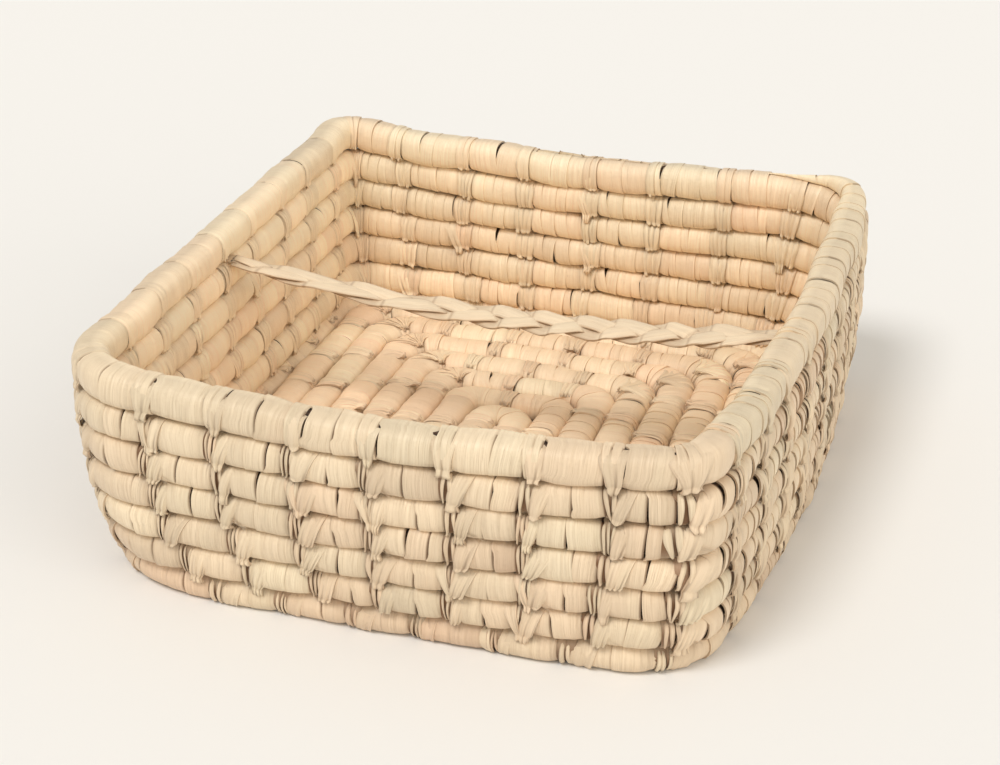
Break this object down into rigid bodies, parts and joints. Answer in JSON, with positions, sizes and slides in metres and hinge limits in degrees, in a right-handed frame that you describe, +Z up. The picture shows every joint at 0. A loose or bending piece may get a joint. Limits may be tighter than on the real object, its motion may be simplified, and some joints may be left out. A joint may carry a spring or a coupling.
{
  "type": "napkin basket",
  "caption": "Low rectangular napkin basket of coiled palm leaf, open at the top, with a plaited strap across the middle.",
  "frame": {"origin": "on the table, under the middle of the floor", "axes": "+X to the right along the front and along the strap, +Y to the back, +Z up"},
  "size_m": [0.2088, 0.2313, 0.075],
  "materials": {
    "palm_leaf": "satin",
    "leaf_stalks": "matte",
    "pale_leaf": "satin"
  },
  "bodies": {
    "basket": {"core_bundle": "leaf_stalks", "wrap_floor_centre": "palm_leaf", "wrap_floor_1": "palm_leaf", "wrap_floor_2": "palm_leaf", "wrap_floor_3": "palm_leaf", "wrap_floor_4": "palm_leaf", "wrap_floor_5": "palm_leaf", "wrap_floor_6": "palm_leaf", "wrap_floor_7": "palm_leaf", "wrap_floor_8": "palm_leaf", "wrap_wall_1": "palm_leaf", "wrap_wall_2": "palm_leaf", "wrap_wall_3": "palm_leaf", "wrap_wall_4": "palm_leaf", "wrap_wall_5": "palm_leaf", "wrap_rim": "palm_leaf", "strap_tail_left": "pale_leaf", "strap_tail_right": "pale_leaf"},
    "strap": {"strap_strand_1": "pale_leaf", "strap_strand_2": "pale_leaf", "strap_strand_3": "pale_leaf"}
  },
  "joints": [
    {"name": "strap_swing", "type": "hinge", "parent": "basket", "child": "strap", "pos_m": [0, 0, 0.06195], "axis": [1, 0, 0], "range_deg": [-180, 180]}
  ]
}
